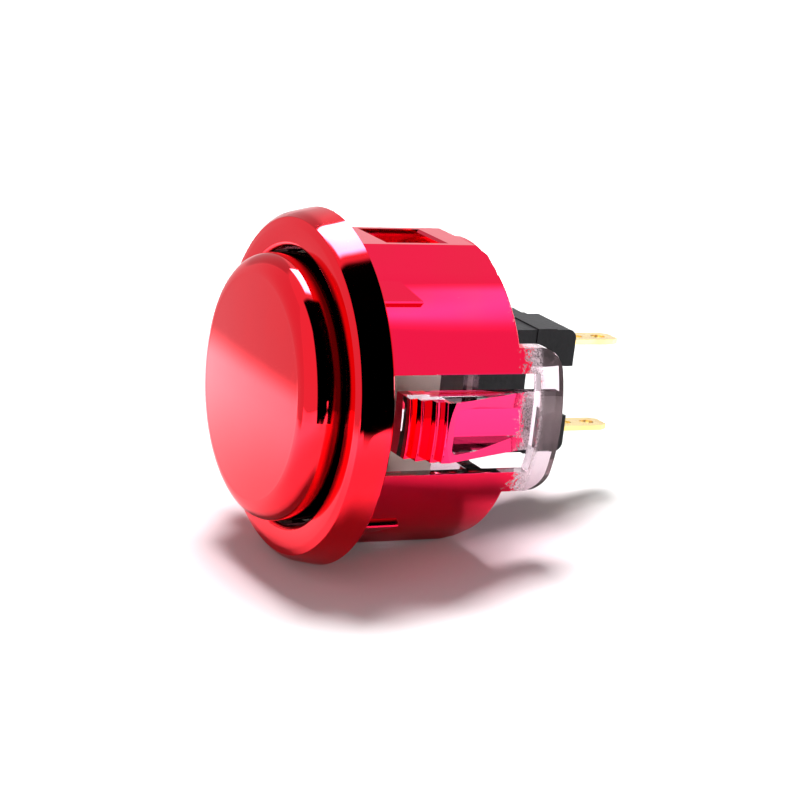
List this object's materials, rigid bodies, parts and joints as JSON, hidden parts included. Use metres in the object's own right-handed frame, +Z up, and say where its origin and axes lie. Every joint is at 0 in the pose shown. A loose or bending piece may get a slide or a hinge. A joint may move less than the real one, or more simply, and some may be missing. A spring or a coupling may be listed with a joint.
{
  "type": "arcade push button",
  "caption": "Snap-in push button for a round panel hole, with a crowned rim, a domed plunger, a clipped barrel and a small spring-returned slide switch with blade terminals.",
  "frame": {"origin": "centre of the panel seat, the plane of the back of the rim, on the axis of the button", "axes": "-Y out of the panel to the player, +Y along the axis to the terminals, +Z up through the flat with a hook window, +X and -X through the two snap clips"},
  "size_m": [0.0336, 0.0391, 0.0336],
  "materials": {
    "housing": "metallised red with a mirror gloss",
    "plunger_cap": "metallised red with a mirror gloss",
    "plunger_carrier": "natural, unpainted",
    "switch_cover": "black, satin",
    "switch_base": "black, satin",
    "actuator": "ivory, satin",
    "contact_bridge": "bright strip",
    "return_spring": "bright drawn wire",
    "terminal_upper": "gold plated",
    "terminal_lower": "gold plated"
  },
  "bodies": {
    "button": {"housing": "housing", "switch_cover": "switch_cover", "switch_base": "switch_base", "terminal_upper": "terminal_upper", "terminal_lower": "terminal_lower", "return_spring": "return_spring"},
    "plunger": {"plunger_cap": "plunger_cap", "plunger_carrier": "plunger_carrier"},
    "slider": {"actuator": "actuator", "contact_bridge": "contact_bridge"}
  },
  "joints": [
    {"name": "plunger_slide", "type": "slide", "parent": "button", "child": "plunger", "axis": [0, 1, 0], "range_m": [0, 0.003], "stiffness_N_per_m": 120, "springref_m": -0.002},
    {"name": "slider_slide", "type": "slide", "parent": "button", "child": "slider", "axis": [0, 1, 0], "range_m": [0, 0.003], "deforming": ["return_spring"]}
  ],
  "couplings": [
    {"joint": "slider_slide", "follows": "plunger_slide", "ratio": 1}
  ]
}
